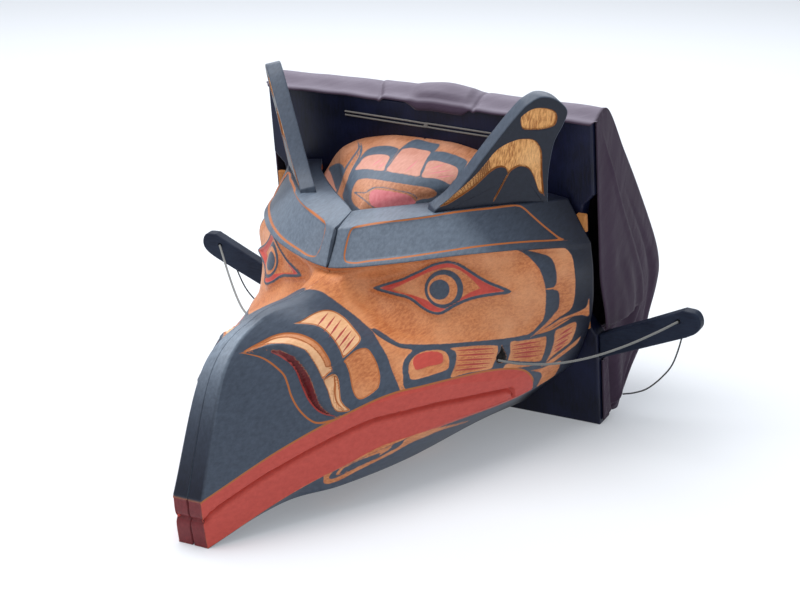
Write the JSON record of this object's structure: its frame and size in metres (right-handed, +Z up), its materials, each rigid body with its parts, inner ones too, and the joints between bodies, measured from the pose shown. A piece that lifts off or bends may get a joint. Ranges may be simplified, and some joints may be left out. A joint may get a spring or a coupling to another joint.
{
  "type": "transformation mask",
  "caption": "Carved wooden bird mask whose hinged halves swing open over an inner head, on a dark back board with a cloth hood and side arms for the pull strings.",
  "frame": {"origin": "on the table under the middle of the mask's width and length, as it rests on the board's lower edge and the beak tip", "axes": "+Z up, the beak points to -Y, +X to the right-hand half as seen from the front"},
  "size_m": [0.6826, 0.7164, 0.4163],
  "materials": {
    "painted_carving": "carved cedar, painted slate blue, black, red and left tan, satin",
    "slate_paint": "slate blue-grey paint on cedar, satin",
    "board_paint": "near-black blue paint on planed cedar, satin",
    "painted_head": "carved cedar, painted pink, black and left tan, satin",
    "raw_cedar": "bare cut cedar, matte",
    "hood_cloth": "plain woven cotton, grey purple, matte",
    "twine": "dark twisted twine, matte",
    "elastic_cord": "dark elastic cord, matte"
  },
  "bodies": {
    "root": {"back_board": "board_paint", "inner_head": "painted_head", "arm_left": "board_paint", "arm_right": "board_paint", "hood": "hood_cloth", "hinge_lower_left": "raw_cedar", "hinge_lower_right": "raw_cedar", "hinge_upper_left": "raw_cedar", "hinge_upper_right": "raw_cedar", "pull_string_left": "twine", "pull_string_right": "twine", "tail_string_left": "twine", "tail_string_right": "twine", "elastic_left": "elastic_cord", "elastic_right": "elastic_cord"},
    "half_right": {"mask_half_right": "painted_carving", "ear_right": "slate_paint"},
    "half_left": {"mask_half_left": "painted_carving", "ear_left": "slate_paint"}
  },
  "joints": [
    {"name": "right_hinge", "type": "hinge", "parent": "root", "child": "half_right", "pos_m": [0.205, 0.15314, 0.18765], "axis": [0, -0.1372, 0.9905], "range_deg": [0, 90], "deforming": ["pull_string_right"]},
    {"name": "left_hinge", "type": "hinge", "parent": "root", "child": "half_left", "pos_m": [-0.205, 0.15314, 0.18765], "axis": [0, -0.1372, 0.9905], "range_deg": [-90, 0], "deforming": ["pull_string_left"]}
  ]
}
